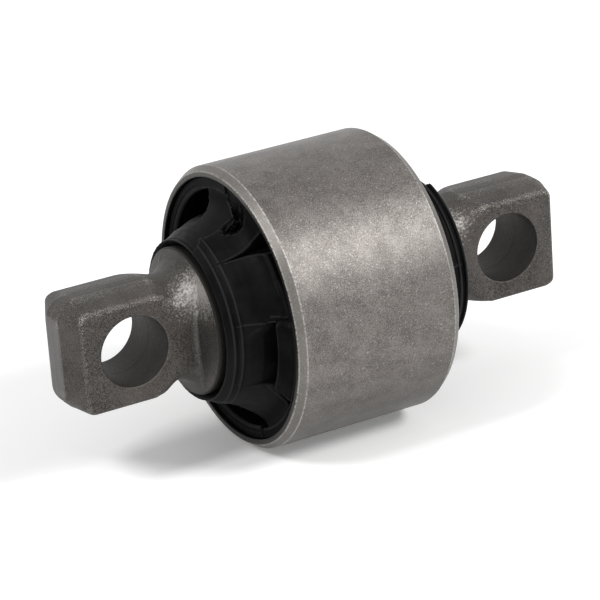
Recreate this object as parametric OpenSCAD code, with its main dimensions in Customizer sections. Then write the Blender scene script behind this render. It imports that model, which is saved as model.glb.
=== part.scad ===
// Rubber and metal bush for the end of a heavy rod.
// A forged steel cross pin has a flat, bored eye at each end and a round flange beside each eye.
// A moulded rubber body is bonded round the pin's middle, and a turned steel sleeve is round that.
// X runs along the bush, Y through the bolt holes and Z is up, with the origin at the sleeve's centre.

/* [Sleeve] */
// Outer diameter of the sleeve
sleeve_d = 85; // [82:0.5:95]
// Wall of the sleeve
sleeve_wall = 3.2; // [2.6:0.1:4]
// Length of the sleeve
sleeve_len = 53.5; // [46:0.5:58]
// Length along the bush of the lead-in taper at each end of the sleeve
lead_len = 2.2; // [1:0.1:4]
// Depth of the lead-in taper, taken off the radius
lead_depth = 1.4; // [0.6:0.1:2]

/* [Cross pin eyes] */
// Distance between the centres of the two bolt holes
hole_spacing = 126; // [122:1:140]
// Diameter of a bolt hole
hole_d = 21; // [16:0.5:23]
// Bevel at each mouth of a bolt hole
hole_bevel = 0.9; // [0.4:0.1:1.4]
// Thickness of an eye across its two flat faces
eye_thick = 23; // [20:0.5:26]
// Height of an eye's flat faces
eye_face_h = 30; // [28:0.5:34]
// Distance from a bolt hole's centre to the outer end of the flat faces
eye_face_reach = 16; // [14:0.5:22]
// Bevel along the edges of the flat faces
eye_edge = 1.5; // [0.3:0.1:2]
// How far the draft carries the top and bottom out from the flat faces to the parting line
draft_rise = 1; // [0.2:0.1:2]
// How far the draft carries the outer end out from the flat faces to the parting line
draft_reach = 4; // [1:0.5:6]
// Width of the trimmed land along the parting line
land_w = 6; // [3:0.5:10]
// Corner radius of the flat faces
face_corner_r = 2.5; // [1:0.5:5]
// Corner radius of the outline at the parting line
land_corner_r = 6; // [3:0.5:10]

/* [Cross pin neck and flanges] */
// Diameter of the neck between an eye and its flange, at its narrowest
neck_d = 31.6; // [30:0.2:34]
// Distance from the flange's edge to the narrowest place of the neck
neck_gap = 6.5; // [5.5:0.1:9]
// Length of the taper by which the neck widens into the eye
shoulder_len = 9; // [6:0.5:12]
// How much the neck's radius grows along that taper
shoulder_rise = 3.8; // [3:0.1:6]
// Distance between the outer edges of the two flanges
flange_span = 83; // [80:0.5:88]
// Diameter of a flange
flange_d = 44; // [42:0.5:47]
// Width of a flange's rim
flange_rim = 3; // [2:0.1:4]
// Bevel along a flange's outer edge
flange_edge = 0.5; // [0.2:0.1:0.9]
// How far a flange's face swells from its edge to the middle
flange_dish = 2; // [1:0.1:3]
// Radius of the hollow by which an eye's flat faces run out into the flange
flank_blend_r = 4; // [2:0.5:6]
// Diameter of the pin's round middle, inside the rubber
core_d = 38; // [34:0.5:40]

/* [Rubber collar] */
// How far the collar's mouth stays back from the flange's edge
collar_back = 0.7; // [0.6:0.1:1.5]
// Diameter of the collar's front band
collar_d = 53; // [50:0.5:55]
// Length of the front band along the bush
collar_len = 2.6; // [2:0.1:4]
// Width of the bevel inside the front band's mouth
mouth_bevel = 0.8; // [0.4:0.1:1.2]
// Depth of the groove behind the front band
groove_depth = 0.9; // [0.4:0.1:1.5]
// Width of the groove
groove_w = 0.8; // [0.5:0.1:1.2]
// Diameter of the second band
band_d = 54.4; // [53:0.2:58]
// Length of the second band
band_len = 1.6; // [1:0.1:2.5]
// Height of the step down from the second band to the skirt
band_step = 0.5; // [0.2:0.1:0.8]

/* [Rubber skirt and ring] */
// Diameter of the skirt's lip, just outside the sleeve's end
skirt_d = 66.4; // [64:0.2:68]
// Diameter of the skirt halfway between the bands and the lip
skirt_mid_d = 58; // [56:0.2:61]
// Width of the lip at the skirt's end
lip_w = 1.6; // [1:0.1:2.4]
// Depth of the gutter between the skirt's lip and the ring
gutter = 0.7; // [0.3:0.1:1.2]
// Radial thickness of the outer ring that lines the sleeve
ring_wall = 3; // [2:0.1:4]
// How far the ring's face lies inside the sleeve's end
ring_recess = 1.6; // [1:0.1:3]
// Height of the step between the ring's higher and lower stretches
ring_step = 0.5; // [0.2:0.1:1]

/* [Rubber pockets] */
// Depth of the large pocket, from the ring's face to its floor
pocket_depth = 15; // [8:0.5:18]
// Diameter of the rubber left round the pin inside the large pocket
pocket_hub_d = 57; // [54.6:0.2:58]
// Angle at which the large pocket starts, from +Y towards +Z
pocket_from = -111; // [-116:1:-95]
// Angle at which the large pocket ends
pocket_to = 76; // [60:1:82]
// Step on each side between the large pocket and its rounded ends
pocket_end_step = 0.4; // [0.2:0.1:1]
// How much higher the floor lies in those rounded ends
pocket_end_rise = 3.5; // [3:0.5:6]
// Depth of the narrow pocket between the skirt's lip and the ring
slit_depth = 12; // [8:0.5:16]
// Angle at which the narrow pocket ends
slit_to = 167; // [155:1:167]
// Angle of the wedge-shaped relief in which the narrow pocket starts
wedge_angle = 128; // [124:1:134]
// Width of the wedge-shaped relief where it meets the ring
wedge_w = 4; // [3:0.5:7]
// Depth of the wedge-shaped relief, from the ring's face
wedge_depth = 6; // [3:0.5:10]
// Diameter of the feed mark in the upper bridge
feed_d = 7; // [3:0.5:8]
// Depth of the feed mark, from the ring's face
feed_depth = 4; // [2:0.5:8]
// Angle of the feed mark
feed_angle = 106; // [98:1:112]
// Distance of the feed mark from the bush's axis
feed_r = 31; // [30:0.2:33]

/* [Rubber stop pad] */
// Diameter across the inner face of the pad that stands on the ring beside the lower bridge
pad_d = 61.6; // [61:0.2:64]
// How far the pad's inner edge stands out from the ring's face
pad_rise = 3.2; // [2:0.1:4]
// Bevel along the pad's inner edge
pad_edge = 0.9; // [0.4:0.1:1.4]
// Angle at which the pad starts
pad_from = 169; // [169:1:175]
// Angle at which the pad ends
pad_to = 211; // [205:1:215]
// Width of the gap between the pad and the skirt, and between the pad and the lower bridge
pad_gap = 1.4; // [0.8:0.1:1.8]

/* [Hidden] */
$fn = 96;

sleeve_r = sleeve_d / 2;
bore_r = sleeve_r - sleeve_wall;
sleeve_x = sleeve_len / 2;

flange_x = flange_span / 2;
flange_r = flange_d / 2;
core_r = core_d / 2;
rim_x = flange_x - flange_rim;
neck_r = neck_d / 2;
neck_x = flange_x + neck_gap;
hole_x = hole_spacing / 2;
face_x = hole_x + eye_face_reach;

ring_x = sleeve_x - ring_recess;
ring_r = bore_r - ring_wall;
mouth_x = flange_x - collar_back;
band_x = mouth_x - collar_len - groove_w;
skirt_x = band_x - band_len;
pad_r = pad_d / 2;
gap_turn = pad_gap / pad_r * 180 / PI;
past = 1;
blend_steps = 6;

// Turns a shape whose axis is Z so that its axis is X, with angles counted from +Y towards +Z.
module along_x() {
    rotate([0, 90, 0])
        rotate([0, 0, 90])
            children();
}

// Repeats a shape that is drawn at the +X end at both ends.
module both_ends() {
    children();
    mirror([1, 0, 0])
        children();
}

module outer_sleeve() {
    color([0.56, 0.55, 0.54])
        along_x()
            rotate_extrude()
                polygon([
                    [bore_r, -sleeve_x],
                    [sleeve_r - lead_depth, -sleeve_x],
                    [sleeve_r, -sleeve_x + lead_len],
                    [sleeve_r, sleeve_x - lead_len],
                    [sleeve_r - lead_depth, sleeve_x],
                    [bore_r, sleeve_x]
                ]);
}

// The corners of one slice of an eye, square to the bolt hole: half height h, outer end at x = reach.
module eye_slice(h, reach, corner, y) {
    translate([0, y, 0])
        rotate([90, 0, 0])
            linear_extrude(0.01) {
                translate([rim_x, -h])
                    square([1, 2 * h]);
                for (s = [-1, 1])
                    translate([reach - corner, s * (h - corner)])
                        circle(corner, $fn = 32);
            }
}

// The forged eye: flat faces, drafted sides and a land along the parting line.
module eye_block() {
    h = eye_face_h / 2;
    hull()
        for (s = [-1, 1]) {
            eye_slice(h - eye_edge, face_x - eye_edge, face_corner_r, s * (eye_thick / 2 - 0.01));
            eye_slice(h, face_x, face_corner_r, s * (eye_thick / 2 - eye_edge));
            eye_slice(h + draft_rise, face_x + draft_reach, land_corner_r, s * land_w / 2);
        }
}

// The turned envelope that rounds the eye down to its neck and flares out to the flange's edge.
module neck_envelope() {
    flare = flange_r - flange_edge - neck_r;
    hollow = [for (i = [0:blend_steps])
        let (a = 90 * i / blend_steps)
        [neck_r + flare * (1 - sin(a)), neck_x - neck_gap * cos(a)]];
    along_x()
        rotate_extrude()
            polygon(concat(
                [[0, rim_x], [neck_r + flare, rim_x]],
                hollow,
                [
                    [neck_r + shoulder_rise, neck_x + shoulder_len],
                    [eye_face_h, neck_x + shoulder_len + eye_thick / 2],
                    [eye_face_h, face_x + draft_reach + past],
                    [0, face_x + draft_reach + past]
                ]
            ));
}

module bolt_hole() {
    half = eye_thick / 2;
    translate([hole_x, 0, 0])
        rotate([90, 0, 0]) {
            cylinder(d = hole_d, h = eye_thick + 2 * past, center = true);
            for (s = [0, 180])
                rotate([s, 0, 0])
                    translate([0, 0, half - hole_bevel])
                        cylinder(
                            r1 = hole_d / 2,
                            r2 = hole_d / 2 + hole_bevel + past,
                            h = hole_bevel + past
                        );
        }
}

// The eye's root: as thick as the eye, with a hollow by which each flat face runs out into the flange.
module eye_root() {
    face_y = eye_thick / 2;
    hollow = [for (i = [0:blend_steps])
        let (a = 90 * i / blend_steps)
        [flange_x + flank_blend_r * (1 - cos(a)), face_y + flank_blend_r * (1 - sin(a))]];
    for (m = [0, 1])
        mirror([0, m, 0])
            translate([0, 0, -flange_r])
                linear_extrude(flange_d)
                    polygon(concat(
                        [[rim_x, 0], [rim_x, face_y + flank_blend_r]],
                        hollow,
                        [[neck_x, face_y], [neck_x, 0]]
                    ));
}

module pin_core() {
    along_x()
        rotate_extrude()
            polygon([
                [0, -flange_x - flange_dish],
                [neck_r / 2, -flange_x - flange_dish],
                [flange_r - flange_edge, -flange_x],
                [flange_r, -flange_x + flange_edge],
                [flange_r, -rim_x],
                [core_r, -rim_x + flange_r - core_r],
                [core_r, rim_x - flange_r + core_r],
                [flange_r, rim_x],
                [flange_r, flange_x - flange_edge],
                [flange_r - flange_edge, flange_x],
                [neck_r / 2, flange_x + flange_dish],
                [0, flange_x + flange_dish]
            ]);
}

module cross_pin() {
    color([0.43, 0.41, 0.39])
        difference() {
            union() {
                pin_core();
                both_ends()
                    intersection() {
                        union() {
                            eye_block();
                            eye_root();
                        }
                        neck_envelope();
                    }
            }
            both_ends()
                bolt_hole();
        }
}

// Half of the moulding's section, from the middle to one end, as [radius, distance along the bush].
function rubber_half() =
    let (
        front_r = collar_d / 2,
        band_r = band_d / 2,
        step_r = band_r - band_step,
        lip_r = skirt_d / 2,
        mid_r = skirt_mid_d / 2,
        mid_x = (skirt_x + ring_x) / 2
    )
    [
        [core_r, 0],
        [core_r, rim_x - flange_r + core_r],
        [flange_r, rim_x],
        [flange_r, mouth_x],
        [front_r - 2 * mouth_bevel, mouth_x],
        [front_r - mouth_bevel / 2, mouth_x - mouth_bevel / 2],
        [front_r, mouth_x - 2 * mouth_bevel],
        [front_r, band_x + groove_w],
        [front_r - groove_depth, band_x + groove_w / 2],
        [step_r, band_x],
        [band_r, skirt_x + band_step],
        [step_r, skirt_x],
        [mid_r, mid_x],
        [lip_r - lip_w, ring_x + gutter],
        [lip_r + gutter / 2, ring_x - gutter],
        [ring_r - gutter / 2, ring_x - gutter],
        [ring_r + gutter, ring_x],
        [bore_r, ring_x],
        [bore_r, 0]
    ];

function mirrored(points) = [for (i = [len(points) - 1:-1:0]) [points[i][0], -points[i][1]]];

// A stretch of a pocket, cut from the +X end: walls at r_in and r_out, floor at x = floor_x.
module pocket(r_in, r_out, floor_x, from, to) {
    corner = (r_out - r_in) / 4;
    along_x()
        rotate([0, 0, from])
            rotate_extrude(angle = to - from)
                polygon([
                    [r_in, floor_x + corner],
                    [r_in + corner, floor_x],
                    [r_out - corner, floor_x],
                    [r_out, floor_x + corner],
                    [r_out, flange_x],
                    [r_in, flange_x]
                ]);
}

// A round upright cut at angle a and radius r, from x = floor_x out past the rubber.
module bore_in(a, r, d, floor_x) {
    rotate([a, 0, 0])
        translate([floor_x, r, 0])
            rotate([0, 90, 0])
                cylinder(d = d, h = flange_x - floor_x);
}

// The wedge: its point is at the bands, and its two sides spread to the ring.
module wedge_relief() {
    floor_x = ring_x - wedge_depth;
    along_x()
        rotate([0, 0, wedge_angle])
            translate([0, 0, floor_x])
                linear_extrude(flange_x - floor_x)
                    polygon([
                        [(band_d + band_step) / 2, 0],
                        [ring_r, -wedge_w / 2],
                        [ring_r, wedge_w / 2]
                    ]);
}

// The pad that stands on the ring and stops the skirt. Its face slopes down to the sleeve.
module stop_pad() {
    top_x = ring_x + pad_rise;
    base_x = ring_x - pad_rise;
    root_r = pad_r - pad_gap / 2;
    along_x()
        rotate([0, 0, pad_from])
            rotate_extrude(angle = pad_to + gap_turn / 4 - pad_from)
                polygon([
                    [root_r, base_x],
                    [root_r, top_x - pad_edge - pad_gap / 2],
                    [pad_r + pad_edge, top_x],
                    [bore_r - gutter, ring_x - gutter],
                    [bore_r - gutter, base_x]
                ]);
}

// The gap that frees the pad from the skirt and from the lower bridge.
module pad_gap_cut(floor_x) {
    pocket(pad_r - pad_gap, pad_r, floor_x, pad_from + gap_turn, pad_to + gap_turn / 2);
    pocket(pad_r - pad_gap / 2, ring_r, floor_x + pad_gap, pad_to, pad_to + gap_turn);
}

module rubber_end_cuts() {
    hub_r = pocket_hub_d / 2;
    lip_r = skirt_d / 2;
    pocket_mid = (hub_r + ring_r) / 2;
    pocket_w = ring_r - hub_r;
    pocket_floor = ring_x - pocket_depth;
    slit_floor = ring_x - slit_depth;
    slit_from = wedge_angle + asin(wedge_w / ring_r / 2) / 2;
    pocket(hub_r, ring_r, pocket_floor, pocket_from, pocket_to);
    for (a = [pocket_from, pocket_to])
        bore_in(a, pocket_mid, pocket_w - 2 * pocket_end_step, pocket_floor + pocket_end_rise);
    pocket(lip_r, ring_r, slit_floor, slit_from, slit_to);
    wedge_relief();
    pad_gap_cut(slit_floor);
    bore_in(feed_angle, feed_r, feed_d, ring_x - feed_depth);
    along_x()
        rotate([0, 0, pocket_from])
            rotate_extrude(angle = pocket_to - pocket_from)
                polygon([
                    [ring_r - past, ring_x - ring_step],
                    [bore_r + past, ring_x - ring_step],
                    [bore_r + past, flange_x],
                    [ring_r - past, flange_x]
                ]);
}

module rubber_body() {
    color([0.09, 0.09, 0.1])
        difference() {
            union() {
                along_x()
                    rotate_extrude()
                        polygon(concat(rubber_half(), mirrored(rubber_half())));
                both_ends()
                    stop_pad();
            }
            both_ends()
                rubber_end_cuts();
        }
}

outer_sleeve();
cross_pin();
rubber_body();
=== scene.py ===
import math

import bpy
import numpy as np
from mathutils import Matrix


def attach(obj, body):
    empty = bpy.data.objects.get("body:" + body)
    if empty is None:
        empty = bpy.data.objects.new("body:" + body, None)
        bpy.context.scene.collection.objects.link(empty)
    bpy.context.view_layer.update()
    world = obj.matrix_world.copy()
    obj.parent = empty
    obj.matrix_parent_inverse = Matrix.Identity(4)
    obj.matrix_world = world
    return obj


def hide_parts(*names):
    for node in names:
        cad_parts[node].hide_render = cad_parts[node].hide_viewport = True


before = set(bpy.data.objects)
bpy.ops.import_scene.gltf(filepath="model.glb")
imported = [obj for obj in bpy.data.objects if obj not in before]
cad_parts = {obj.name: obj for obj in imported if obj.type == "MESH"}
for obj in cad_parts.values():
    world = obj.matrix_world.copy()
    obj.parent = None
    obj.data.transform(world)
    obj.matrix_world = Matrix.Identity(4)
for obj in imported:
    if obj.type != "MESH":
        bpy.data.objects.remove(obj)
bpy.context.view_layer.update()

import openvdb
from mathutils import Matrix, Vector

MM = 0.001

# The cross pin.
# One steel forging that runs right through the bush, with a flat drafted eye at each end, a round
# neck and a round flange. It is shot-blasted after forging, and only the bolt holes are bored.

# The eye: its two flat faces, the drafted sides, and the land that the dies leave between them.
eye_half = 11.5
eye_top_z = 15.0
eye_low_z = 16.1
eye_face_x = 79.0
land_half = 3.6
land_z = 16.7
land_x = 82.93
face_corner = 2.4
land_corner = 7.0
top_round = 1.5
end_round = 0.7
land_round = 0.35
seam_height = 0.06
seam_width = 0.5

# The bolt hole, drilled from both faces, so that a fine step is left halfway.
hole_x = 63.0
hole_r = 10.5
hole_round = 0.55
hole_step = 0.05

# The neck, which widens outwards to clear the eye and flares inwards to the flange. Within it the
# eye's outline opens out, so that only the round neck shows.
neck_r = 15.8
neck_x = 48.0
neck_round = 1.3
open_out = 8
open_from = 1.5
open_full = 4
shoulder_rise = 3.8
shoulder_len = 9.5
widen_from = 8
widen_slope = 0.95
flare_r = 21.5

# The flange, and the round middle that the rubber hides.
flange_x = 41.5
flange_r = 22.0
flange_back = 38.5
flange_edge = 0.5
flange_swell = 2.0
core_r = 19.0
taper_from = flange_back - flange_r + core_r
root_r = 1.2
root_sharp = 0.3

# Where a painted highlight sits on the flange, and the fineness of the pin's mesh.
flange_highlight_at = (42.2, -14.0, 13.8)
pin_step = 0.45
pin_keep = 0.67


def meet(a, b, r):
    """Both of two solids, with the edge between them rounded to radius r."""
    return np.minimum(np.maximum(a, b), -r) + np.hypot(np.maximum(a + r, 0), np.maximum(b + r, 0))


def join(a, b, r):
    """Either of two solids, with a hollow of radius r where they meet."""
    return -meet(-a, -b, r)


def ease(low, high, v):
    """Goes softly from 0 at low to 1 at high."""
    t = np.clip((v - low) / (high - low), 0, 1)
    return t * t * (3 - 2 * t)


def eye_block(ax, y, z):
    """The flat eye with its drafted edge. Its outline opens out where the round neck takes over."""
    ay, az = np.abs(y), np.abs(z)
    draft_run = eye_half - land_half
    rise = land_z - np.where(z > 0, eye_top_z, eye_low_z)
    reach = land_x - eye_face_x
    side = ((az - land_z) * draft_run + (ay - land_half) * rise) / np.hypot(draft_run, rise)
    end = ((ax - land_x) * draft_run + (ay - land_half) * reach) / math.hypot(draft_run, reach)
    side = meet(side, az - land_z, land_round)
    end = meet(end, ax - land_x, land_round)
    seam = seam_height * np.exp(-(y / seam_width) ** 2)
    corner = land_corner + (face_corner - land_corner) * np.clip((ay - land_half) / draft_run, 0, 1)
    opening = open_out * ease(neck_x + open_from, neck_x - open_full, ax)
    outline = meet(side, end, corner) - seam - opening
    edge_round = top_round + (end_round - top_round) * ease(-2, 2, end - side)
    return meet(outline, ay - eye_half, edge_round)


def neck_profile(x):
    """Radius of the turned envelope round the eye, at distance x from the bush's middle."""
    shoulder = neck_r + shoulder_rise * ease(neck_x, neck_x + shoulder_len, x)
    run = np.clip((neck_x - x) / (neck_x - flange_x), 0, 1)
    flare = (flare_r - neck_r) * (1 - np.sqrt(1 - run * run))
    return shoulder + widen_slope * np.maximum(x - neck_x - widen_from, 0) + flare


def neck_envelope(ax, r):
    """The round envelope as a solid, its distances evened out where the outline is steep."""
    half, steepest = 0.5, 3
    slope = np.minimum(np.abs(neck_profile(ax + half) - neck_profile(ax - half)), steepest)
    return (r - neck_profile(ax)) / np.hypot(1, slope)


def flange_disc(ax, r):
    """The flange with its swollen face, the taper behind it and the round middle."""
    swell = flange_swell * np.clip((flange_r - r) / (flange_r - neck_r / 2), 0, 1)
    disc = meet(r - flange_r, ax - flange_x - swell, flange_edge)
    return np.maximum(disc, r - core_r - np.maximum(ax - taper_from, 0))


def pin_field(x, y, z):
    """Distance in mm to the pin's surface, below zero inside the steel."""
    ax = np.abs(x)
    r = np.hypot(y, z)
    eye = meet(eye_block(ax, y, z), neck_envelope(ax, r), neck_round)
    beside_eye = ease(0.45, 0.6, np.abs(y) / np.maximum(r, 1))
    off_rim = ease(flange_r, flange_r - 3, r)
    root = root_sharp + (root_r - root_sharp) * beside_eye * off_rim
    body = join(eye, flange_disc(ax, r), root)
    wall = hole_r - hole_step * ease(0.2, 0.8, y)
    return meet(body, wall - np.hypot(ax - hole_x, z), hole_round)


def sample(field, low, high, step):
    """The field on a grid, as the points of its zero surface joined up in quads."""
    counts = [int(math.ceil((b - a) / step)) + 1 for a, b in zip(low, high)]
    ys = (low[1] + step * np.arange(counts[1]))[None, :, None]
    zs = (low[2] + step * np.arange(counts[2]))[None, None, :]
    band = 3 * step
    slab = 16
    values = np.empty(counts, np.float32)
    for start in range(0, counts[0], slab):
        xs = (low[0] + step * np.arange(start, min(start + slab, counts[0])))[:, None, None]
        x, y, z = np.broadcast_arrays(xs, ys, zs)
        values[start:start + slab] = np.clip(field(x, y, z), -band, band)
    grid = openvdb.FloatGrid(band)
    grid.copyFromArray(values)
    points, quads = grid.convertToQuads(0.0)
    return points.astype(float) * step + np.array(low), quads.astype(int)


def gradient(field, p, h):
    x, y, z = p.T
    return np.stack([
        field(x + h, y, z) - field(x - h, y, z),
        field(x, y + h, z) - field(x, y - h, z),
        field(x, y, z + h) - field(x, y, z - h),
    ], 1) / (2 * h)


def settle(field, p, step):
    """Moves points onto the true surface, by at most half a step each time."""
    rounds, reach, flattest = 4, 0.04, 0.05
    for _ in range(rounds):
        g = gradient(field, p, reach)
        size = np.maximum((g * g).sum(1), flattest)
        move = -field(*p.T)[:, None] * g / size[:, None]
        length = np.maximum(np.linalg.norm(move, axis=1, keepdims=True), 1e-9)
        p = p + move * np.minimum(1, 0.5 * step / length)
    return p


def bend(field, p, h):
    """How sharply the surface bends at each point, in 1/mm: above zero on edges, below in hollows."""
    x, y, z = p.T
    around = sum(field(*(p + h * d).T) for d in np.vstack([np.eye(3), -np.eye(3)]))
    return (around - 6 * field(x, y, z)) / (h * h)


def shade_by(obj, field):
    """Gives the mesh the surface's own normals, and an attribute that says where its edges are."""
    normal_reach, edge_reach, sharpest = 0.1, 0.5, 1.5
    mesh = obj.data
    p = np.empty(len(mesh.vertices) * 3)
    mesh.vertices.foreach_get("co", p)
    p = p.reshape(-1, 3) / MM
    normals = gradient(field, p, normal_reach)
    normals /= np.linalg.norm(normals, axis=1, keepdims=True)
    mesh.shade_smooth()
    mesh.normals_split_custom_set_from_vertices(normals)
    edge = mesh.attributes.new("edge", "FLOAT", "POINT")
    bends = np.clip(bend(field, p, edge_reach), -sharpest, sharpest)
    edge.data.foreach_set("value", bends.astype(np.float32))


def skin(name, field, low, high, step, hidden, keep):
    """A closed mesh of the field's surface. Where hidden is true it is thinned out to the share keep."""
    p, quads = sample(field, low, high, step)
    p = settle(field, p, step)
    mesh = bpy.data.meshes.new(name)
    mesh.vertices.add(len(p))
    mesh.vertices.foreach_set("co", (p * MM).ravel())
    mesh.loops.add(quads.size)
    mesh.loops.foreach_set("vertex_index", quads.ravel())
    mesh.polygons.add(len(quads))
    mesh.polygons.foreach_set("loop_start", np.arange(0, quads.size, 4))
    mesh.update(calc_edges=True)
    mesh.validate()
    obj = bpy.data.objects.new(name, mesh)
    bpy.context.scene.collection.objects.link(obj)
    group = obj.vertex_groups.new(name="hidden")
    group.add([int(i) for i in np.nonzero(hidden(*p.T))[0]], 1.0, "REPLACE")
    thin = obj.modifiers.new("thin", "DECIMATE")
    thin.ratio = keep
    thin.vertex_group = "hidden"
    thin.vertex_group_factor = 10
    bpy.context.view_layer.update()
    depsgraph = bpy.context.evaluated_depsgraph_get()
    thinned = bpy.data.meshes.new_from_object(obj.evaluated_get(depsgraph))
    obj.modifiers.clear()
    obj.data = thinned
    bpy.data.meshes.remove(mesh)
    shade_by(obj, field)
    return obj


def pin_hidden(x, y, z):
    """Where the rubber covers the pin."""
    depth = 3.5
    return np.abs(x) < flange_x - depth


pin_room = 1.6
pin = skin(
    "cross_pin_forging", pin_field,
    (-land_x - pin_room, -flange_r - pin_room, -flange_r - pin_room),
    (land_x + pin_room, flange_r + pin_room, flange_r + pin_room),
    pin_step, pin_hidden, pin_keep,
)


class Finish:
    """A node material, with short names for the nodes that a finish is built from."""

    def __init__(self, name):
        self.material = bpy.data.materials.new(name)
        self.material.use_nodes = True
        self.nodes = self.material.node_tree.nodes
        self.links = self.material.node_tree.links
        self.shader = self.nodes["Principled BSDF"]
        place = self.nodes.new("ShaderNodeTexCoord")
        scale = self.nodes.new("ShaderNodeVectorMath")
        scale.operation = "SCALE"
        scale.inputs["Scale"].default_value = 1 / MM
        self.links.new(place.outputs["Object"], scale.inputs[0])
        self.place = scale.outputs[0]

    def math(self, operation, *values):
        node = self.nodes.new("ShaderNodeMath")
        node.operation = operation
        for socket, value in zip(node.inputs, values):
            if isinstance(value, (int, float)):
                socket.default_value = value
            else:
                self.links.new(value, socket)
        return node.outputs[0]

    def add(self, a, b):
        return self.math("ADD", a, b)

    def minus(self, a, b):
        return self.math("SUBTRACT", a, b)

    def times(self, a, b):
        return self.math("MULTIPLY", a, b)

    def noise(self, size, detail, rough, offset=0.0):
        """Noise with features about size mm across."""
        shift = self.nodes.new("ShaderNodeMapping")
        shift.inputs["Location"].default_value = (offset, offset * 1.7, -offset)
        self.links.new(self.place, shift.inputs["Vector"])
        node = self.nodes.new("ShaderNodeTexNoise")
        node.inputs["Scale"].default_value = 1 / size
        node.inputs["Detail"].default_value = detail
        node.inputs["Roughness"].default_value = rough
        self.links.new(shift.outputs[0], node.inputs["Vector"])
        return node.outputs["Fac"]

    def spread(self, value, low, high, out_low=0.0, out_high=1.0):
        """Goes softly from out_low, where the value is low, to out_high, where it is high."""
        node = self.nodes.new("ShaderNodeMapRange")
        node.interpolation_type = "SMOOTHSTEP"
        ends = (("From Min", low), ("From Max", high), ("To Min", out_low), ("To Max", out_high))
        for key, number in ends:
            node.inputs[key].default_value = number
        self.links.new(value, node.inputs["Value"])
        return node.outputs[0]

    def blend(self, share, a, b):
        """Colour a, with the given share of colour b."""
        node = self.nodes.new("ShaderNodeMix")
        node.data_type = "RGBA"
        for key, value in ((6, a), (7, b)):
            if isinstance(value, tuple):
                node.inputs[key].default_value = (*value, 1)
            else:
                self.links.new(value, node.inputs[key])
        self.links.new(share, node.inputs[0])
        return node.outputs[2]

    def parts(self):
        """Distance from the middle along the bush, and the two distances across it, in mm."""
        node = self.nodes.new("ShaderNodeSeparateXYZ")
        self.links.new(self.place, node.inputs[0])
        return self.math("ABSOLUTE", node.outputs["X"]), node.outputs["Y"], node.outputs["Z"]

    def length(self, a, b):
        return self.math("SQRT", self.add(self.times(a, a), self.times(b, b)))

    def distance(self, point):
        """Distance in mm from a point of the near end, or its mirror at the far end."""
        off, across, up = self.parts()
        flat = self.length(self.minus(off, point[0]), self.minus(across, point[1]))
        return self.length(flat, self.minus(up, point[2]))

    def attribute(self, name):
        node = self.nodes.new("ShaderNodeAttribute")
        node.attribute_name = name
        return node.outputs["Fac"]

    def bump(self, height, depth, strength):
        """Bump whose heights from 0 to 1 stand for a depth in mm."""
        node = self.nodes.new("ShaderNodeBump")
        node.inputs["Strength"].default_value = strength
        node.inputs["Distance"].default_value = depth * MM
        self.links.new(height, node.inputs["Height"])
        return node.outputs[0]

    def set(self, **sockets):
        for key, value in sockets.items():
            socket = self.shader.inputs[key.replace("_", " ").title().replace("Ior", "IOR")]
            if isinstance(value, bpy.types.NodeSocket):
                self.links.new(value, socket)
            else:
                socket.default_value = value


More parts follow.
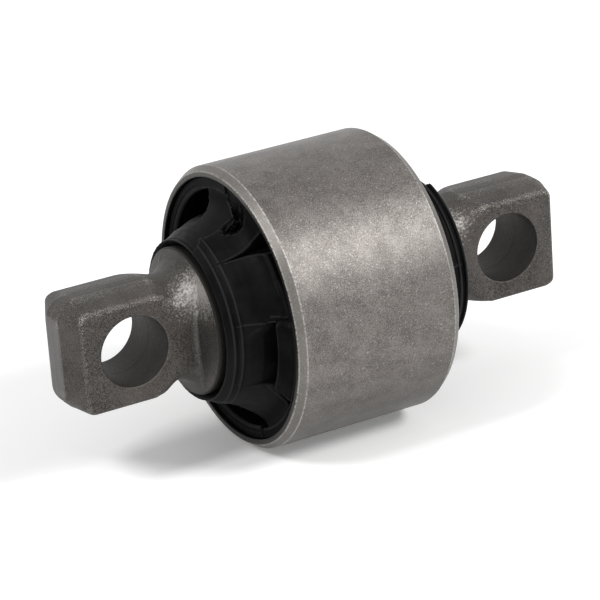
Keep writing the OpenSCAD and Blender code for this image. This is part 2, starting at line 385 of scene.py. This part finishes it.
def forged_finish():
    """Blasted grey-brown steel rubbed bright on its edges, with painted shade in hollows and a painted
    highlight on the flange.
    """
    dark, pale = (0.030, 0.027, 0.025), (0.112, 0.103, 0.096)
    brown = (0.095, 0.082, 0.071)
    hollow_shade = (0.04, 0.037, 0.034)
    lit_land_grey = (0.165, 0.158, 0.158)
    glint_grey = (0.2, 0.19, 0.18)
    bright = (0.5, 0.48, 0.455)
    bore_shade = (0.034, 0.030, 0.027)
    rim_shade = (0.02, 0.018, 0.017)
    f = Finish("shot_blasted_forging")
    grain = f.noise(0.27, 3, 0.65)
    pits = f.noise(0.9, 2, 0.5, 11)
    glint = f.noise(0.7, 2, 0.6, 41)
    stain = f.noise(9, 4, 0.6, 3)
    warm = f.noise(22, 2, 0.5, 31)
    off, across, up = f.parts()
    from_hole = f.length(f.minus(off, hole_x), up)
    edge = f.attribute("edge")

    # Grain and stains, painted shade in the hollows, and painted light on the end land.
    tone = f.add(f.times(grain, 0.8), f.times(stain, 0.2))
    colour = f.blend(f.spread(tone, 0.40, 0.61), dark, pale)
    colour = f.blend(f.spread(warm, 0.45, 0.7, 0, 0.4), colour, brown)
    colour = f.blend(f.times(f.spread(edge, -0.04, -0.3, 0, 0.9), 0.45), colour, hollow_shade)
    colour = f.blend(f.spread(off, land_x - 0.45, land_x - 0.2, 0, 0.55), colour, lit_land_grey)

    # A faint line where the eye's flat faces run out at the flange.
    past_face = f.minus(f.math("ABSOLUTE", across), eye_half + 0.5)
    from_root = f.length(f.minus(off, flange_x + 2.4), past_face)
    root_line = f.times(f.spread(from_root, 1.3, 0.5), f.spread(glint, 0.35, 0.65, 0.05, 0.4))
    colour = f.blend(root_line, colour, glint_grey)

    # Wear on the eye's edges, most along the top ones, and hardly any at the hole or on the neck.
    on_eye = f.spread(off, neck_x - 3, neck_x + 5, 0.1, 1)
    on_eye = f.times(on_eye, f.spread(from_hole, hole_r + 0.6, hole_r + 2, 0.25, 1))
    patchy = f.add(f.times(edge, 0.6), f.times(f.minus(grain, 0.5), 4.5))
    worn = f.times(f.spread(patchy, 0.45, 1.5), on_eye)
    worn = f.times(worn, f.spread(up, 8, 12.5, 0.45, 1))
    colour = f.blend(f.times(worn, 0.7), colour, bright)
    # Painted glints: pale specks scattered over the pin.
    colour = f.blend(f.spread(glint, 0.62, 0.74, 0, 0.4), colour, glint_grey)

    # A painted highlight on one patch of the flange, painted shade in the bore, and painted shade round
    # the flange's rim.
    from_highlight = f.add(f.distance(flange_highlight_at), f.times(glint, 20))
    colour = f.blend(f.times(f.spread(from_highlight, 20.5, 11), 0.8), colour, bright)
    in_bore = f.spread(from_hole, hole_r + 0.35, hole_r + 0.1, 0, 0.85)
    colour = f.blend(in_bore, colour, bore_shade)
    on_rim = f.spread(f.length(across, up), flange_r - 0.75, flange_r - 0.3)
    on_rim = f.times(on_rim, f.spread(off, flange_x + 2, flange_x + 1))
    colour = f.blend(on_rim, colour, rim_shade)

    rough = f.add(grain, f.times(worn, -0.25))
    f.set(
        base_color=colour,
        metallic=0.85,
        roughness=f.spread(rough, 0.2, 0.75, 0.40, 0.62),
        normal=f.bump(f.add(grain, f.times(pits, 0.7)), 0.16, 0.85),
    )
    return f.material


pin.data.materials.append(forged_finish())
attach(pin, "root")
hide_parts("cross_pin")

# The rubber body.
# One black moulding, bonded to the pin and to the sleeve. Each end has a banded collar round the
# flange, a flared skirt, bridges out to the ring that lines the sleeve, pockets between them and a
# stop pad. Its two mould halves meet at a seam beside a torn feed mark.

# Radii and distances from the middle. Each end is cut off at inner_cut, deep inside the bush.
bore_r = 39.3
ring_r = 36.2
ring_x = 25.2
face_x = 24.7
mouth_x = 41.35
inner_cut = 8.5
pocket_floor = 10.2
slit_floor = 13.2
rubber_step = 0.34
rubber_keep = 0.2

# Radii of the moulding's rounded edges, and of the hollow where the skirt meets the end face.
mouth_round = 0.35
skirt_hollow = 1.4
pocket_edge = 0.7
slit_edge = 0.9
wedge_edge = 0.3
gap_edge = 1.2

# The skirt and its collar, as distance from the middle and radius: first the near mould half, then
# the slimmer far one. The third line is the hub at the bottom of the large pocket.
skirt_outline = [
    (9, 34.2), (20, 33.9), (24.9, 33.4), (25.6, 32.9), (26.2, 32.0), (27.0, 31.1), (28.7, 29.95),
    (30.4, 29.0), (33.0, 27.7), (35.4, 26.8), (36.1, 26.7), (36.3, 27.05), (36.7, 27.15),
    (37.4, 26.65), (38.0, 26.1), (38.25, 26.0), (38.6, 26.5), (38.95, 26.85), (39.3, 26.6),
    (41.1, 22.8), (41.45, 22.1), (42.0, 20.6),
]
slim_outline = [
    (9, 34.2), (20, 33.9), (24.9, 33.4), (25.6, 32.9), (26.2, 32.0), (27.0, 31.1), (28.7, 29.5),
    (30.4, 28.1), (33.0, 26.75), (35.0, 26.15), (35.9, 25.55), (36.2, 25.35), (38.0, 24.55),
    (39.0, 24.25), (39.4, 23.8), (39.7, 24.1), (40.4, 23.8), (40.8, 23.4), (41.05, 22.4),
    (41.6, 20.6),
]
hub_outline = [
    (9, 29.4), (20, 28.9), (25, 28.7), (27, 28.6), (30, 27.9), (33, 27.1), (36, 26.4), (37, 27.5),
]

# The open seam of the mould, as distance from the middle and angle round the bush in degrees.
seam_line = [
    (24.0, 93.5), (25.0, 94.5), (25.3, 98.0), (25.9, 101.0), (26.4, 104.8), (27.2, 105.2),
    (28.1, 104.0), (29.3, 103.2), (30.5, 103.4), (33.0, 103.2), (36.9, 102.1), (38.2, 105.5),
    (39.3, 108.4), (40.0, 107.0), (40.2, 100.2), (41.0, 98.8),
]
seam_side = 160
slim_from = 225
slim_to = 255

# Edges of the pockets and bridges, and two lines of flash, as radius and angle.
pocket_low = [(27.0, 251.5), (29.5, 251.0), (32.6, 247.0), (36.2, 245.0)]
pocket_high = [(27.0, 81.0), (30.0, 80.0), (33.0, 75.5), (36.2, 73.0)]
wedge_top = [(26.9, 127.0), (29.0, 126.8), (30.4, 125.7), (31.5, 124.5), (33.8, 124.1), (36.3, 124.3)]
wedge_low = [
    (26.9, 127.4), (28.0, 128.4), (29.5, 129.7), (30.4, 130.8), (32.0, 132.8), (33.3, 134.5),
    (36.3, 136),
]
bridge_low = [(27.0, 210.4), (29.5, 210.8), (30.3, 211.8), (31.1, 213.6), (32.2, 215.4), (36.3, 217.4)]
mould_line = [(26.7, 168.2), (31.5, 170.2)]
second_line = [(30.3, 166.2), (33.0, 167.4)]

# The wedge's floor and the pad's face, as radius and distance from the middle.
wedge_r = 26.7
wedge_floor = [(wedge_r, 35.0), (27.5, 30.5), (29.0, 22.0), (31.0, 15.0), (37.0, 13.5)]
pad_outline = [
    (30.0, 28.3), (31.6, 28.3), (33.8, 27.35), (36.5, 26.45), (37.6, 25.8), (38.6, 24.6), (39.3, 23.6),
]
pad_from = 168.6
pad_to = 211.2
pad_r = 30.8
gap_from = 170

# The torn feed mark: its distance from the middle, its radius and angle, and the bowl's own radius.
feed_x = 27.3
feed_r = 31.0
feed_angle = 105.7
feed_size = 3.8


def turn(y, z):
    """Angle round the bush in degrees, 0 to 360, from +Y towards +Z."""
    return np.degrees(np.arctan2(z, y)) % 360


def follow(v, line):
    """Height of a line of points at v."""
    xs, ys = zip(*line)
    return np.interp(v, xs, ys)


def ridge(off, width):
    """A low rounded ridge, 1 high where off is 0."""
    return np.exp(-(off / width) ** 2)


def seam_step(ax, angle, past_seam):
    """The far mould half stands a little proud of the near one, between the skirt and the ring."""
    height, half_width = 0.3, 0.2
    raised = height * ease(half_width, -half_width, past_seam)
    raised = raised * ease(20, 60, angle) * ease(30.5, 28.5, ax)
    return np.where(angle < seam_side, raised, 0)


def skirt_radius(ax, angle, past_seam):
    """Radius of the skirt and collar, and its slope, with a share of the slimmer mould half."""
    on_seam = ease(0.22, -0.22, past_seam)
    slim = np.where(angle < seam_side, on_seam, ease(slim_from, slim_to, angle))

    def profile(v):
        return follow(v, skirt_outline) * (1 - slim) + follow(v, slim_outline) * slim

    half = 0.2
    return profile(ax), (profile(ax + half) - profile(ax - half)) / (2 * half)


def skirt_flash(ax, r, angle, arc):
    """Height of the fine flash that the mould's parts leave on the skirt."""
    first_height, first_width, worn_share = 0.42, 0.4, 0.6
    second_height, second_width = 0.35, 0.35
    first = first_height * ridge((angle - follow(r, mould_line)) * arc, first_width)
    first = first * ease(25.4, 26.4, ax) * (1 - worn_share * ease(35.5, 36.5, ax))
    second = second_height * ridge((angle - follow(r, second_line)) * arc, second_width)
    return first + second * ease(29.0, 28.0, ax)


def lining_ring(ax, r, angle):
    """The ring that lines the sleeve, and its inner radius. It is thicker on the far side."""
    near_from, near_to, lip_to = 66.5, 251, 94.0
    thicker, higher, lip_height = 0.8, 0.3, 0.45
    groove_r, groove_depth, groove_width = 37.2, 0.25, 0.35
    inner_round, outer_round, ring_depth = 0.9, 0.7, 20
    near = ease(near_from, near_from + 1, angle) * ease(near_to, near_to - 1, angle)
    lip = lip_height * ease(near_from, near_from + 0.7, angle) * ease(lip_to, lip_to - 0.6, angle)
    groove = groove_depth * ridge(r - groove_r, groove_width) * (1 - near)
    rim = ring_x + higher - higher * near + lip - groove
    inner = ring_r - thicker + thicker * ease(lip_to - 0.8, lip_to, angle)
    inner = inner - thicker * ease(near_to - 1, near_to, angle)
    ring = meet(meet(inner - r, ax - rim, inner_round), r - bore_r, outer_round)
    return np.maximum(ring, ring_depth - ax), inner


def large_pocket(ax, r, angle, arc):
    """The large pocket on the far side, round to both bridges."""
    hub_round, ring_round, floor_round = 2.4, 1.0, 2.0
    hub_slant = 1.04
    turned = np.where(angle < seam_side, angle, angle - 360)
    side = np.maximum(turned - follow(r, pocket_high), follow(r, pocket_low) - 360 - turned) * arc
    pocket = meet(side, (follow(ax, hub_outline) - r) / hub_slant, hub_round)
    pocket = meet(pocket, r - ring_r, ring_round)
    return meet(pocket, pocket_floor - ax, floor_round)


def lip_slit(ax, r, angle, arc):
    """The narrow pocket behind the skirt's lip."""
    slit_from, slit_to = 129.6, 167.4
    slit_inner = follow(angle, [(148, 33.0), (165, 34.6)])
    slit = np.maximum(slit_inner - r, r - ring_r)
    slit = np.maximum(slit, np.maximum(slit_from - angle, angle - slit_to) * arc)
    return np.maximum(slit, slit_floor - ax)


def wedge_relief(ax, r, angle, arc):
    """The wedge that the slit starts in."""
    wedge = np.maximum(follow(r, wedge_top) - angle, angle - follow(r, wedge_low)) * arc
    wedge = np.maximum(wedge, wedge_r - r)
    wedge = np.maximum(wedge, r - ring_r)
    return np.maximum(wedge, follow(r, wedge_floor) - ax)


def pad_gap(ax, r, angle, arc, low_end):
    """The gap that leaves the stop pad free on its inner side and at its lower end."""
    narrow_r, widening = 30.1, 2.3
    end_from_r, end_to_r, end_floor = 30, 38.2, 15
    gap_in = narrow_r - widening * ease(167, 178, angle)
    along = np.maximum(gap_from - angle, angle - low_end) * arc
    gap = np.maximum(np.maximum(gap_in - r, r - pad_r), along)
    end_gap = np.maximum(pad_to - angle, angle - low_end) * arc
    end_gap = np.maximum(end_gap, np.maximum(end_from_r - r, r - end_to_r))
    gap = np.maximum(np.minimum(gap, np.maximum(end_gap, end_floor - ax)), slit_floor - ax)
    above = follow(r, [(28, 30), (31, 24.6), (40, 24.6)]) - ax
    clear = np.maximum(np.maximum(gap_in - r, above), along)
    return np.minimum(gap, clear)


def stop_pad(ax, r, angle, arc):
    """The pad that stops the pin when it swings too far, standing on the ring's near side."""
    face_slant, face_round, corner_round, pad_depth = 1.07, 1.6, 1.8, 13
    pad = meet(pad_r - r, (ax - follow(r, pad_outline)) / face_slant, face_round)
    pad = meet(pad, np.maximum(pad_from - angle, angle - pad_to) * arc, corner_round)
    return np.maximum(np.maximum(pad, r - bore_r), pad_depth - ax)


def torn_feed(body, ax, r, angle, arc, past_seam):
    """The bowl left where the feed was torn off beside the seam, with a shred standing in it."""
    stub_r, stub_top = 1.7, 27.6
    rag = 0.35 * np.sin(3.1 * ax + 1.3 * r) + 0.3 * np.sin(7.3 * ax + 2.0) * np.cos(4.1 * r)
    torn_edge = past_seam + rag * ease(30.0, 28.6, ax)
    fx, fy, fz = ax - feed_x, (angle - feed_angle) * arc, r - feed_r
    bowl = np.sqrt(fx * fx + fy * fy + (fz * 0.9) ** 2) - feed_size
    bowl = bowl + 0.25 * np.sin(2.2 * fy + 0.7) * np.sin(2.6 * fx)
    bowl_round = 0.4 + 1.2 * ease(0.8, 2.4, torn_edge)
    body = meet(body, -meet(bowl, 0.3 - torn_edge, 0.2), bowl_round)
    shred = np.sin(2.6 * fx + 0.6) * np.sin(3.1 * fy + 1.1) * np.sin(2.7 * fz + 0.4)
    stub = np.sqrt((fx + 0.4) ** 2 + (fy + 1.2) ** 2 + (fz + 1.6) ** 2) - stub_r + 0.9 * shred
    return np.minimum(body, np.maximum(stub, ax - stub_top))


def open_seam(body, ax, r, angle, arc, past_seam, surface, inner):
    """The seam gapes a little on the skirt, and again where it crosses the ring."""
    crack_half, crack_depth, crack_from, far_off = 0.16, 0.7, 25.0, 5
    split_half, split_depth, split_angle, split_reach = 0.1, 0.8, 93.4, 0.2
    crack = np.maximum(np.abs(past_seam) - crack_half, surface - crack_depth - r)
    crack = np.where((angle > 80) & (angle < 120), crack, far_off)
    body = np.maximum(body, -np.maximum(crack, crack_from - ax))
    split = np.abs((angle - split_angle) * arc) - split_half
    split = np.maximum(split, ring_x - split_depth - ax)
    return np.maximum(body, -np.maximum(split, inner - split_reach - r))


def bonded(body, ax, r):
    """The moulding cut off at the sleeve and the pin, with a fine gap at the collar's mouth."""
    body = np.maximum(body, r - bore_r)
    body = np.maximum(body, core_r - r + np.maximum(ax - taper_from, 0))
    clearance, mouth_gap, mouth_depth = 0.05, 0.2, 0.9
    collar_r = flange_r + clearance + mouth_gap * ease(mouth_x - mouth_depth, mouth_x, ax)
    body = np.where(ax > flange_back, np.maximum(body, collar_r - r), body)
    return np.maximum(body, inner_cut - ax)


def rubber_field(x, y, z):
    """Distance in mm to the rubber's surface, below zero inside it."""
    ax = np.abs(x)
    r = np.hypot(y, z)
    angle = turn(y, z)
    arc = r * math.pi / 180
    past_seam = (angle - follow(ax, seam_line)) * arc
    raised = seam_step(ax, angle, past_seam)
    outline, slope = skirt_radius(ax, angle, past_seam)
    nick = 0.35 * ridge(past_seam, 0.25) * ease(29, 30.5, ax) * (angle < seam_side)
    skirt = (r - outline - raised - skirt_flash(ax, r, angle, arc) + nick) / np.hypot(1, slope)
    skirt = meet(skirt, ax - mouth_x, mouth_round)
    ring, inner = lining_ring(ax, r, angle)

    body = join(skirt, np.maximum(ax - face_x - raised, r - bore_r), skirt_hollow)
    body = meet(body, -large_pocket(ax, r, angle, arc), pocket_edge)
    body = meet(body, -lip_slit(ax, r, angle, arc), slit_edge)
    body = meet(body, -wedge_relief(ax, r, angle, arc), wedge_edge)
    low_end = follow(r, bridge_low)
    body = meet(body, -pad_gap(ax, r, angle, arc, low_end), gap_edge)
    body = np.minimum(np.minimum(body, stop_pad(ax, r, angle, arc)), ring)
    bridge_flash = 0.5 * ridge((angle - low_end - 0.5) * arc, 0.3) * ease(29.2, 30.4, r)
    body = body - bridge_flash * ease(37, 35, r) * ease(235, 225, angle)
    body = torn_feed(body, ax, r, angle, arc, past_seam)
    body = open_seam(body, ax, r, angle, arc, past_seam, outline + raised, inner)
    return bonded(body, ax, r)


def rubber_hidden(x, y, z):
    """Where the sleeve or the pin covers the rubber, and deep inside the bush."""
    r = np.hypot(y, z)
    ax = np.abs(x)
    at_bond, ring_end, collar_end, depth = 0.12, 1.2, 2.5, 10
    outside = (r > bore_r - at_bond) & (ax < ring_x - ring_end)
    inside = (r < flange_r + at_bond) & (ax < mouth_x - collar_end)
    return outside | inside | (ax < inner_cut + depth)


def mirrored(obj, name, field):
    """The same moulding at the other end."""
    mesh = obj.data.copy()
    mesh.transform(Matrix.Scale(-1, 4, Vector((1, 0, 0))))
    mesh.flip_normals()
    other = bpy.data.objects.new(name, mesh)
    bpy.context.scene.collection.objects.link(other)
    mesh.attributes.remove(mesh.attributes["edge"])
    shade_by(other, field)
    return other


end_x, end_r, cut_room = 42.0, 41.0, 1.2
near_end = skin(
    "rubber_end_minus_x", rubber_field,
    (-end_x, -end_r, -end_r), (-inner_cut + cut_room, end_r, end_r),
    rubber_step, rubber_hidden, rubber_keep,
)
far_end = mirrored(near_end, "rubber_end_plus_x", rubber_field)


def rubber_finish():
    """Moulded black rubber, cloudy and half matt, with a painted highlight on its edges and painted shade
    towards the sleeve.
    """
    f = Finish("moulded_rubber")
    fine = f.noise(0.5, 3, 0.55)
    cloud = f.noise(7, 4, 0.6, 5)
    streak = f.noise(2.0, 3, 0.6, 9)
    rim = f.spread(f.attribute("edge"), 0.3, 1.2)
    _, across, up = f.parts()
    black, soft_black = (0.0025, 0.0026, 0.0028), (0.0062, 0.0063, 0.0067)
    colour = f.blend(f.spread(cloud, 0.35, 0.68), black, soft_black)
    # Painted highlight: a paler colour where the rubber's edges bend outwards.
    colour = f.blend(f.times(rim, 0.35), colour, (0.04, 0.04, 0.042))
    rough = f.add(f.times(cloud, 0.6), f.times(streak, 0.4))
    f.set(
        base_color=colour,
        roughness=f.spread(rough, 0.3, 0.7, 0.36, 0.56),
        # Painted shade: the reflection is weaker towards the sleeve.
        specular_ior_level=f.spread(f.length(across, up), 30.0, 33.5, 0.05, 0.018),
        normal=f.bump(f.add(fine, f.times(streak, 0.8)), 0.035, 0.6),
    )
    return f.material


rubber_material = rubber_finish()
for end in (near_end, far_end):
    end.data.materials.append(rubber_material)
    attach(end, "root")
    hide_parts("rubber_body")

# The outer sleeve.
# A length of thick steel tube, turned outside and at both ends, with a lead-in taper so that it can
# be pressed into the rod's eye. It is phosphated grey, and rubbed bright along its edges.

sleeve_r = 42.5
sleeve_x = 26.75
sleeve_round = 0.3
lead_len = 2.2
lead_depth = 1.6
lead_r = sleeve_r - lead_depth
turns = 320


def rounded(points, radius, steps=5):
    """The outline with each corner replaced by an arc."""
    out = []
    count = len(points)
    for i, corner in enumerate(points):
        a = np.array(points[i - 1], float) - corner
        b = np.array(points[(i + 1) % count], float) - corner
        a, b = a / np.linalg.norm(a), b / np.linalg.norm(b)
        half = math.acos(max(-1, min(1, float(a @ b)))) / 2
        back = radius / math.tan(half)
        centre = corner + (a + b) / np.linalg.norm(a + b) * radius / math.sin(half)
        start, end = corner + a * back - centre, corner + b * back - centre
        for k in range(steps + 1):
            t = k / steps
            v = start * (1 - t) + end * t
            out.append(centre + v / np.linalg.norm(v) * radius)
    return out


def lathe(name, outline, turns):
    """A closed ring: the outline's points are (radius, x), and it turns about X."""
    outline = np.array(outline)
    angles = np.arange(turns) * 2 * math.pi / turns
    x = np.repeat(outline[:, 1][None, :], turns, 0)
    y = np.cos(angles)[:, None] * outline[:, 0][None, :]
    z = np.sin(angles)[:, None] * outline[:, 0][None, :]
    points = np.stack([x, y, z], 2).reshape(-1, 3) * MM
    n = len(outline)
    faces = []
    for i in range(turns):
        j = (i + 1) % turns
        for k in range(n):
            m = (k + 1) % n
            faces.append((i * n + k, i * n + m, j * n + m, j * n + k))
    mesh = bpy.data.meshes.new(name)
    mesh.from_pydata([tuple(p) for p in points], [], faces)
    mesh.validate()
    obj = bpy.data.objects.new(name, mesh)
    bpy.context.scene.collection.objects.link(obj)
    return obj


def sleeve_outline():
    """The wall's section, its long sides cut into short pieces."""
    longest = 1.5
    corners = [
        (bore_r, -sleeve_x), (lead_r, -sleeve_x), (sleeve_r, -sleeve_x + lead_len),
        (sleeve_r, sleeve_x - lead_len), (lead_r, sleeve_x), (bore_r, sleeve_x),
    ]
    arcs = rounded(corners, sleeve_round)
    out = []
    for i, p in enumerate(arcs):
        q = arcs[(i + 1) % len(arcs)]
        out.append(p)
        pieces = max(1, int(np.linalg.norm(q - p) / longest))
        for k in range(1, pieces):
            out.append(p + (q - p) * k / pieces)
    return out


sleeve = lathe("outer_sleeve_tube", sleeve_outline(), turns)
sleeve.data.shade_smooth()


def sleeve_finish():
    """Grainy phosphated steel with bright specks, duller end faces and thin bright lines on the edges."""
    dark, pale = (0.088, 0.081, 0.075), (0.208, 0.193, 0.18)
    shade = (0.08, 0.075, 0.07)
    bright_speck = (0.42, 0.41, 0.4)
    taper_grey = (0.175, 0.165, 0.152)
    underside_shade = (0.062, 0.057, 0.053)
    cut_brown = (0.05, 0.044, 0.038)
    bright_line = (0.5, 0.485, 0.465)
    inside_black = (0.012, 0.012, 0.012)
    f = Finish("phosphated_steel")
    grain = f.noise(0.32, 3, 0.65)
    speck = f.noise(0.6, 2, 0.6, 7)
    blotch = f.noise(6, 5, 0.65, 2)
    cloud = f.noise(30, 3, 0.5, 17)
    off, across, up = f.parts()
    radius = f.length(across, up)

    # Grain, soft clouds and specks, over the whole tube.
    tone = f.add(f.times(blotch, 0.3), f.times(grain, 0.7))
    colour = f.blend(f.spread(tone, 0.38, 0.62), dark, pale)
    colour = f.blend(f.spread(cloud, 0.5, 0.72, 0, 0.2), colour, shade)
    colour = f.blend(f.spread(speck, 0.6, 0.72, 0, 0.5), colour, bright_speck)

    # The taper with its ragged edge, and painted shade on the underside.
    ragged = f.add(off, f.times(f.minus(speck, 0.5), 0.9))
    colour = f.blend(f.times(f.spread(ragged, 24.1, 24.75), 0.5), colour, taper_grey)
    colour = f.blend(f.spread(up, -6.0, -40.0, 0, 0.5), colour, underside_shade)

    # The end faces lie inside the cone that leans in from the taper's small end.
    within = sleeve_x - 2 * lead_r
    end_face = f.spread(f.add(off, f.times(radius, -2)), within - 0.5, within - 0.2)
    colour = f.blend(end_face, colour, cut_brown)

    # Bright worn lines at both ends of the taper, and the dark inside.
    outer_line = f.math("ABSOLUTE", f.minus(off, sleeve_x - lead_len))
    inner_line = f.math("ABSOLUTE", f.minus(radius, lead_r))
    at_end = f.spread(off, sleeve_x - 0.8, sleeve_x - 0.4)
    outer_line = f.spread(outer_line, 0.3, 0.12)
    inner_line = f.times(f.spread(inner_line, 0.3, 0.12), at_end)
    line = f.times(f.math("MAXIMUM", outer_line, inner_line), f.spread(speck, 0.3, 0.6))
    colour = f.blend(f.times(line, 0.5), colour, bright_line)
    inside = f.spread(radius, bore_r + 0.5, bore_r + 0.2)
    colour = f.blend(inside, colour, inside_black)
    f.set(
        base_color=colour,
        metallic=0.9,
        roughness=f.spread(grain, 0.25, 0.75, 0.31, 0.46),
        normal=f.bump(f.add(grain, f.times(speck, 0.5)), 0.12, 0.8),
    )
    return f.material


sleeve.data.materials.append(sleeve_finish())
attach(sleeve, "root")
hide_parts("outer_sleeve")

# The studio.
# A plain white floor under the sleeve, a white surround, two soft lamps and the camera.
# The floor keeps the bush's shadow, and both lamps are large, so that the shadow stays soft.

# The camera's place, from the photograph's perspective: its turn, its height and its tilt in
# degrees, and its distance in mm. The bush's middle falls on centre_px of a picture frame_px wide.
camera_turn = math.radians(-28.42)
camera_height = math.radians(21.603)
camera_tilt = math.radians(-4.322)
camera_far = 957.26
sensor = 36.0
lens = 195.28
centre_px = (307.161, 286.993)
frame_px = 600

back = Vector((
    math.sin(camera_turn) * math.cos(camera_height),
    -math.cos(camera_turn) * math.cos(camera_height),
    math.sin(camera_height),
))
right = Vector((0, 0, 1)).cross(back).normalized()
up = back.cross(right)
tilted_right = right * math.cos(camera_tilt) + up * math.sin(camera_tilt)
tilted_up = up * math.cos(camera_tilt) - right * math.sin(camera_tilt)

# A pixel's size at the bush, in mm.
px = camera_far * sensor / (lens * frame_px)
place = (
    back * camera_far
    + tilted_right * (frame_px / 2 - centre_px[0]) * px
    + tilted_up * (centre_px[1] - frame_px / 2) * px
) * MM
camera_data = bpy.data.cameras.new("camera")
camera_data.lens = lens
camera_data.sensor_width = sensor
camera_data.clip_end = 20
camera = bpy.data.objects.new("camera", camera_data)
bpy.context.scene.collection.objects.link(camera)
camera.matrix_world = Matrix((
    (tilted_right.x, tilted_up.x, back.x, place.x),
    (tilted_right.y, tilted_up.y, back.y, place.y),
    (tilted_right.z, tilted_up.z, back.z, place.z),
    (0, 0, 0, 1),
))
bpy.context.scene.camera = camera
bpy.context.scene.view_settings.view_transform = "Standard"


def seen_directly(nodes, links):
    """1 for what the camera, a reflection or a clear material sees, and 0 for what lights the object."""
    path = nodes.new("ShaderNodeLightPath")
    total = path.outputs["Is Camera Ray"]
    for key in ("Is Glossy Ray", "Is Transmission Ray"):
        node = nodes.new("ShaderNodeMath")
        node.operation = "MAXIMUM"
        links.new(total, node.inputs[0])
        links.new(path.outputs[key], node.inputs[1])
        total = node.outputs[0]
    return total


def white_surround():
    """White where it is seen, and somewhat dimmer as a light."""
    light_level, seen_level = 0.58, 1.0
    world = bpy.data.worlds.new("surround")
    bpy.context.scene.world = world
    world.use_nodes = True
    nodes, links = world.node_tree.nodes, world.node_tree.links
    shader = nodes["Background"]
    shader.inputs["Color"].default_value = (1, 1, 1, 1)
    level = nodes.new("ShaderNodeMapRange")
    level.inputs["To Min"].default_value = light_level
    level.inputs["To Max"].default_value = seen_level
    links.new(seen_directly(nodes, links), level.inputs["Value"])
    links.new(level.outputs[0], shader.inputs["Strength"])


def white_floor():
    """A matt white floor just under the sleeve, with a slight glow where it is seen."""
    half, below, paint, glow_level = 6.0, 0.15, 0.92, 0.16
    z = (-sleeve_r - below) * MM
    corners = [(-half, -half, z), (half, -half, z), (half, half, z), (-half, half, z)]
    mesh = bpy.data.meshes.new("floor")
    mesh.from_pydata(corners, [], [(0, 1, 2, 3)])
    floor = bpy.data.objects.new("floor", mesh)
    bpy.context.scene.collection.objects.link(floor)
    material = bpy.data.materials.new("white_floor")
    material.use_nodes = True
    nodes, links = material.node_tree.nodes, material.node_tree.links
    shader = nodes["Principled BSDF"]
    shader.inputs["Base Color"].default_value = (paint, paint, paint, 1)
    shader.inputs["Roughness"].default_value = 0.9
    shader.inputs["Specular IOR Level"].default_value = 0.0
    shader.inputs["Emission Color"].default_value = (1, 1, 1, 1)
    glow = nodes.new("ShaderNodeMath")
    glow.operation = "MULTIPLY"
    glow.inputs[1].default_value = glow_level
    links.new(seen_directly(nodes, links), glow.inputs[0])
    links.new(glow.outputs[0], shader.inputs["Emission Strength"])
    mesh.materials.append(material)


def softbox(name, towards, side, power):
    """A square lamp that looks at the bush from the given side."""
    distance = 2.2
    data = bpy.data.lights.new(name, "AREA")
    data.shape = "SQUARE"
    data.size = side
    data.energy = power
    lamp = bpy.data.objects.new(name, data)
    bpy.context.scene.collection.objects.link(lamp)
    direction = Vector(towards).normalized()
    lamp.location = direction * distance
    lamp.rotation_mode = "QUATERNION"
    lamp.rotation_quaternion = direction.to_track_quat("Z", "Y")


white_surround()
white_floor()
softbox("key_softbox", (0.46, -0.63, 0.63), 0.58, 30.0)
softbox("side_softbox", (-0.62, -0.12, 0.77), 0.49, 18.0)
